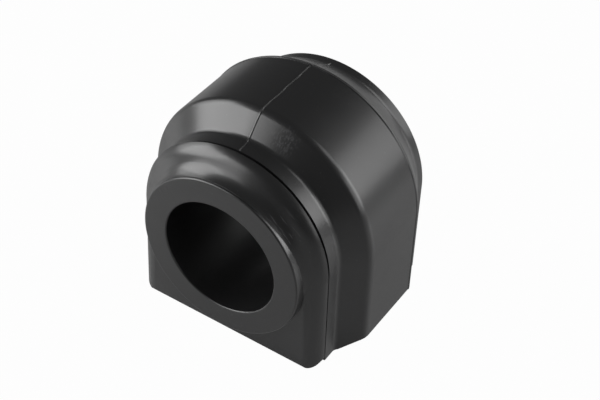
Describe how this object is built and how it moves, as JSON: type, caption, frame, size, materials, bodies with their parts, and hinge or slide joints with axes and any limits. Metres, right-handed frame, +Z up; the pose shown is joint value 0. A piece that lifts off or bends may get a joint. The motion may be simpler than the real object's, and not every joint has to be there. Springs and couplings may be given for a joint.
{
  "type": "anti-roll bar bush",
  "caption": "One-piece black rubber bush with an arched body, a flat base, round end collars and a plain bore that grips a car's anti-roll bar.",
  "frame": {"origin": "middle of the flat base, halfway along the bore", "axes": "+X to the right across the base, +Y along the bore from the front collar to the rear, +Z up from the base to the crown"},
  "size_m": [0.0484, 0.0386, 0.0444],
  "materials": {
    "black_rubber": "semi-gloss moulded"
  },
  "bodies": {
    "root": {"rubber_bush": "black_rubber"}
  },
  "joints": []
}
